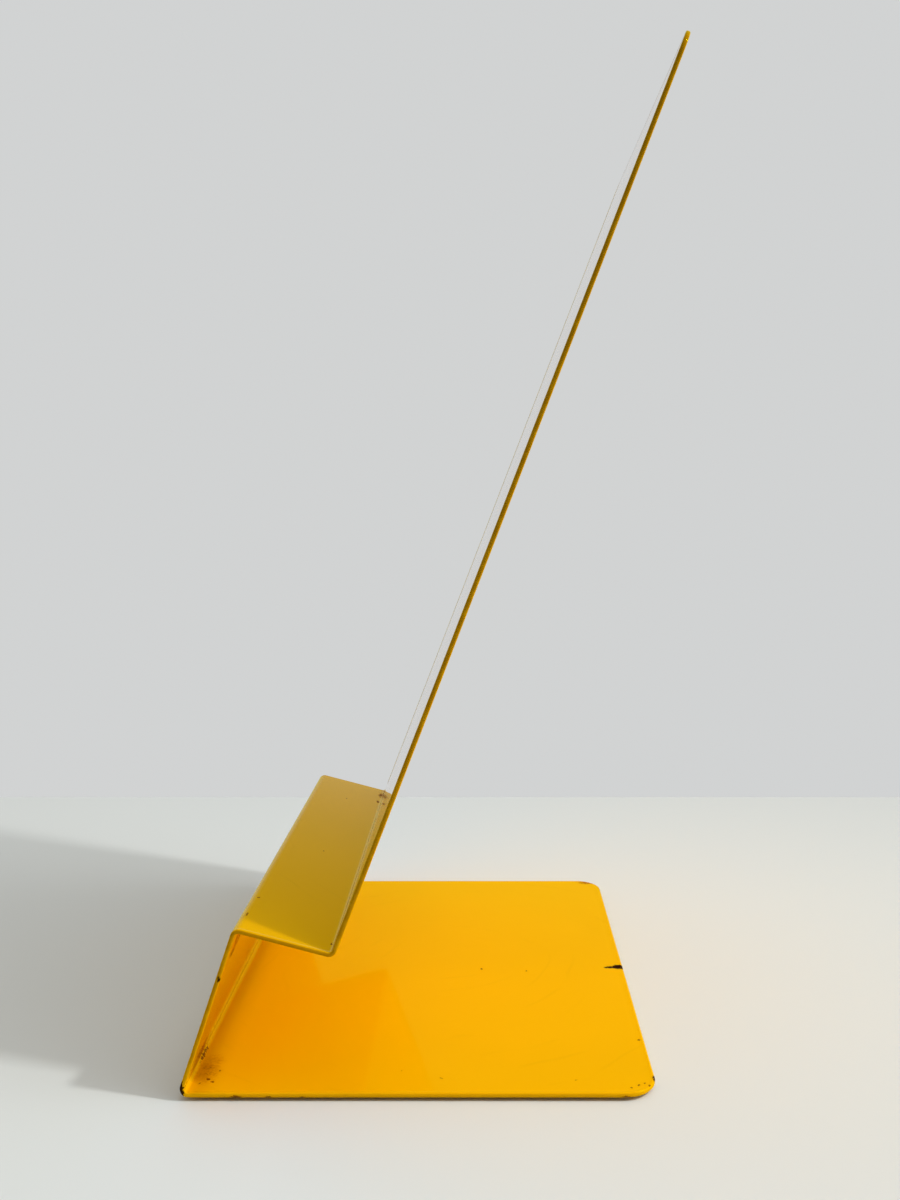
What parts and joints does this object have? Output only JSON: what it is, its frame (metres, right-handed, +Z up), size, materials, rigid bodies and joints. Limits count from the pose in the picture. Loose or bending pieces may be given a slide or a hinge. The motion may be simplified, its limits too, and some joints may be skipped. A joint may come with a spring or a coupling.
{
  "type": "book stand",
  "caption": "Free-standing book stand folded from lacquered steel sheet, with a flat base, a leaning riser, a sloping ledge and a tall back, on thin rubber feet.",
  "frame": {"origin": "on the table plane, under the middle of the stand's bounding box", "axes": "+Z up, +X from the front fold to the rear, +Y to the reader's left"},
  "size_m": [0.1602, 0.19, 0.3355],
  "materials": {
    "yellow_lacquer": "gloss lacquer, worn at the edges",
    "foot_rubber": "matte"
  },
  "bodies": {
    "root": {"folded_sheet": "yellow_lacquer", "front_left_foot": "foot_rubber", "front_right_foot": "foot_rubber", "rear_left_foot": "foot_rubber", "rear_right_foot": "foot_rubber"}
  },
  "joints": []
}
